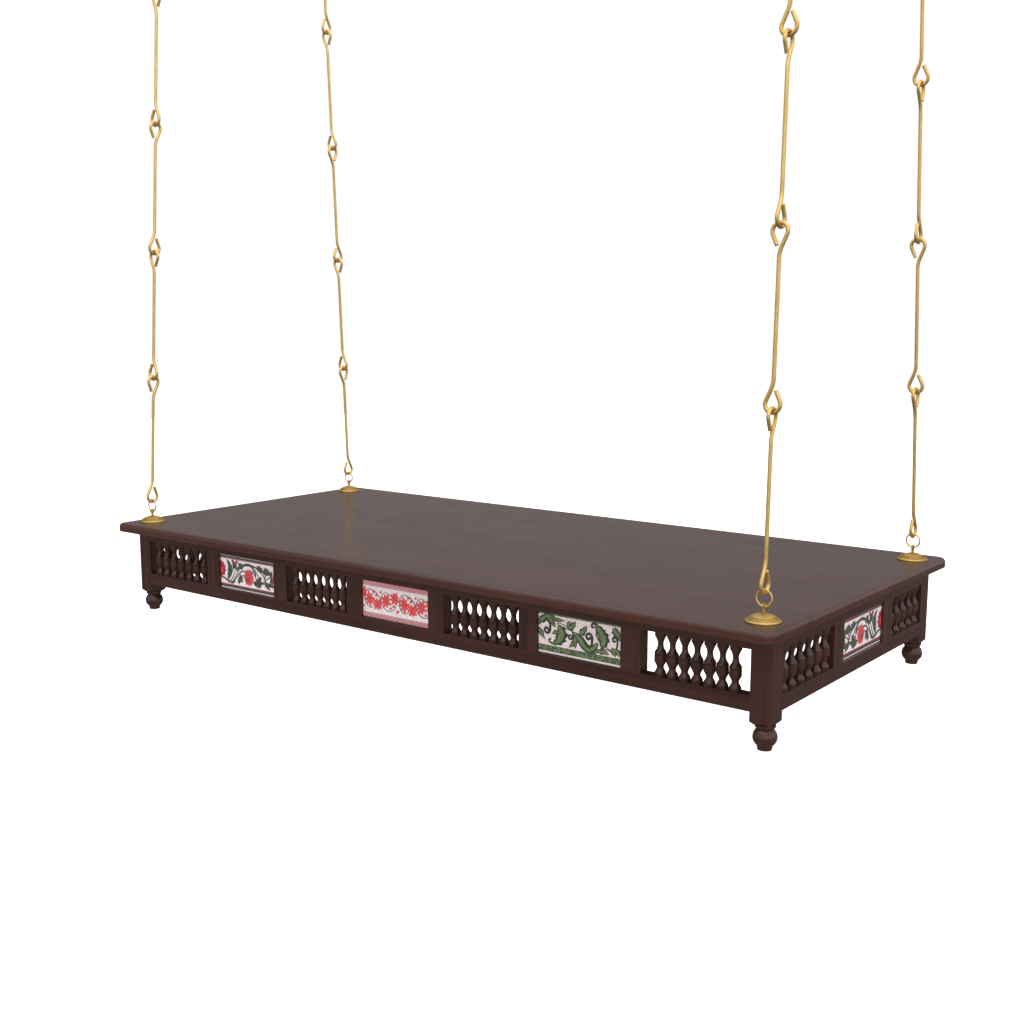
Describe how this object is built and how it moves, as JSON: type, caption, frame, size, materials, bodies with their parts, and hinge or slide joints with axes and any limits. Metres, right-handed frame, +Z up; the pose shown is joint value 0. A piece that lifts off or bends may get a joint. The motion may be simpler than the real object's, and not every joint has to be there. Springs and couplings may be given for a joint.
{
  "type": "jhoola swing",
  "caption": "Flat wooden swing seat on turned feet, with spindle and tile sides, hung from the ceiling by hooked brass rods.",
  "frame": {"origin": "centre of the four ceiling studs, on the ceiling plane", "axes": "+X along the seat to the right, +Y to the back, +Z up along the studs"},
  "size_m": [1.64, 0.764, 1.7601],
  "materials": {
    "dark_wood": "satin lacquer",
    "backing_wood": "bare",
    "glazed_tile": "painted glaze",
    "brass": "polished",
    "zinc_steel": "zinc plated"
  },
  "bodies": {
    "ceiling_fittings": {"ceiling_eyebolts": "brass", "ceiling_dome_plates": "brass"},
    "front_left_ceiling_ring": {"front_left_ceiling_ring": "brass"},
    "front_left_hanger": {"front_left_hanger_rods": "brass"},
    "front_left_seat_ring": {"front_left_seat_ring": "brass"},
    "back_left_ceiling_ring": {"back_left_ceiling_ring": "brass"},
    "back_left_hanger": {"back_left_hanger_rods": "brass"},
    "back_left_seat_ring": {"back_left_seat_ring": "brass"},
    "front_right_ceiling_ring": {"front_right_ceiling_ring": "brass"},
    "front_right_hanger": {"front_right_hanger_rods": "brass"},
    "front_right_seat_ring": {"front_right_seat_ring": "brass"},
    "back_right_ceiling_ring": {"back_right_ceiling_ring": "brass"},
    "back_right_hanger": {"back_right_hanger_rods": "brass"},
    "back_right_seat_ring": {"back_right_seat_ring": "brass"},
    "seat": {"seat_board": "dark_wood", "front_left_post": "dark_wood", "back_left_post": "dark_wood", "front_right_post": "dark_wood", "back_right_post": "dark_wood", "front_top_rail": "dark_wood", "front_bottom_rail": "dark_wood", "front_stiles": "dark_wood", "front_spindles": "dark_wood", "right_top_rail": "dark_wood", "right_bottom_rail": "dark_wood", "right_stiles": "dark_wood", "right_spindles": "dark_wood", "back_top_rail": "dark_wood", "back_bottom_rail": "dark_wood", "back_stiles": "dark_wood", "back_spindles": "dark_wood", "left_top_rail": "dark_wood", "left_bottom_rail": "dark_wood", "left_stiles": "dark_wood", "left_spindles": "dark_wood", "left_bearer": "dark_wood", "right_bearer": "dark_wood", "front_tile_backers": "backing_wood", "right_tile_backers": "backing_wood", "back_tile_backers": "backing_wood", "left_tile_backers": "backing_wood", "front_tile_1": "glazed_tile", "front_tile_2": "glazed_tile", "front_tile_3": "glazed_tile", "right_tile_1": "glazed_tile", "back_tile_1": "glazed_tile", "back_tile_2": "glazed_tile", "back_tile_3": "glazed_tile", "left_tile_1": "glazed_tile", "bearer_screws": "zinc_steel", "barrel_nuts": "zinc_steel", "front_left_seat_eyebolt": "brass", "back_left_seat_eyebolt": "brass", "front_right_seat_eyebolt": "brass", "back_right_seat_eyebolt": "brass", "front_left_dome_plate": "brass", "back_left_dome_plate": "brass", "front_right_dome_plate": "brass", "back_right_dome_plate": "brass"}
  },
  "joints": [
    {"name": "front_left_swing", "type": "hinge", "parent": "ceiling_fittings", "child": "front_left_ceiling_ring", "pos_m": [-0.753, -0.239, -0.024], "axis": [1, 0, 0], "range_deg": [-10, 10]},
    {"name": "front_left_sway", "type": "hinge", "parent": "front_left_ceiling_ring", "child": "front_left_hanger", "pos_m": [-0.753, -0.2397, -0.03718], "axis": [0, 1, 0], "range_deg": [-8, 8]},
    {"name": "front_left_ring_turn", "type": "hinge", "parent": "front_left_hanger", "child": "front_left_seat_ring", "pos_m": [-0.772, -0.3153, -1.45644], "axis": [0, 1, 0], "range_deg": [-8, 8]},
    {"name": "seat_tilt", "type": "hinge", "parent": "front_left_seat_ring", "child": "seat", "pos_m": [-0.772, -0.316, -1.46962], "axis": [1, 0, 0], "range_deg": [-10, 10]},
    {"name": "back_left_swing", "type": "hinge", "parent": "ceiling_fittings", "child": "back_left_ceiling_ring", "pos_m": [-0.753, 0.239, -0.024], "axis": [1, 0, 0], "range_deg": [-10, 10]},
    {"name": "back_left_sway", "type": "hinge", "parent": "back_left_ceiling_ring", "child": "back_left_hanger", "pos_m": [-0.753, 0.2397, -0.03718], "axis": [0, 1, 0], "range_deg": [-8, 8]},
    {"name": "back_left_ring_turn", "type": "hinge", "parent": "back_left_hanger", "child": "back_left_seat_ring", "pos_m": [-0.772, 0.3153, -1.45644], "axis": [0, 1, 0], "range_deg": [-8, 8]},
    {"name": "front_right_swing", "type": "hinge", "parent": "ceiling_fittings", "child": "front_right_ceiling_ring", "pos_m": [0.753, -0.239, -0.024], "axis": [1, 0, 0], "range_deg": [-10, 10]},
    {"name": "front_right_sway", "type": "hinge", "parent": "front_right_ceiling_ring", "child": "front_right_hanger", "pos_m": [0.753, -0.2397, -0.03718], "axis": [0, 1, 0], "range_deg": [-8, 8]},
    {"name": "front_right_ring_turn", "type": "hinge", "parent": "front_right_hanger", "child": "front_right_seat_ring", "pos_m": [0.772, -0.3153, -1.45644], "axis": [0, 1, 0], "range_deg": [-8, 8]},
    {"name": "back_right_swing", "type": "hinge", "parent": "ceiling_fittings", "child": "back_right_ceiling_ring", "pos_m": [0.753, 0.239, -0.024], "axis": [1, 0, 0], "range_deg": [-10, 10]},
    {"name": "back_right_sway", "type": "hinge", "parent": "back_right_ceiling_ring", "child": "back_right_hanger", "pos_m": [0.753, 0.2397, -0.03718], "axis": [0, 1, 0], "range_deg": [-8, 8]},
    {"name": "back_right_ring_turn", "type": "hinge", "parent": "back_right_hanger", "child": "back_right_seat_ring", "pos_m": [0.772, 0.3153, -1.45644], "axis": [0, 1, 0], "range_deg": [-8, 8]}
  ],
  "couplings": [
    {"joint": "front_left_ring_turn", "follows": "front_left_sway", "ratio": -0.97539},
    {"joint": "seat_tilt", "follows": "front_left_swing", "ratio": -0.75633},
    {"joint": "back_left_swing", "follows": "front_left_swing", "ratio": 1},
    {"joint": "back_left_sway", "follows": "front_left_sway", "ratio": 1},
    {"joint": "back_left_ring_turn", "follows": "front_left_sway", "ratio": -0.97539},
    {"joint": "front_right_swing", "follows": "front_left_swing", "ratio": 1},
    {"joint": "front_right_sway", "follows": "front_left_sway", "ratio": 1},
    {"joint": "front_right_ring_turn", "follows": "front_left_sway", "ratio": -0.97539},
    {"joint": "back_right_swing", "follows": "front_left_swing", "ratio": 1},
    {"joint": "back_right_sway", "follows": "front_left_sway", "ratio": 1},
    {"joint": "back_right_ring_turn", "follows": "front_left_sway", "ratio": -0.97539}
  ]
}
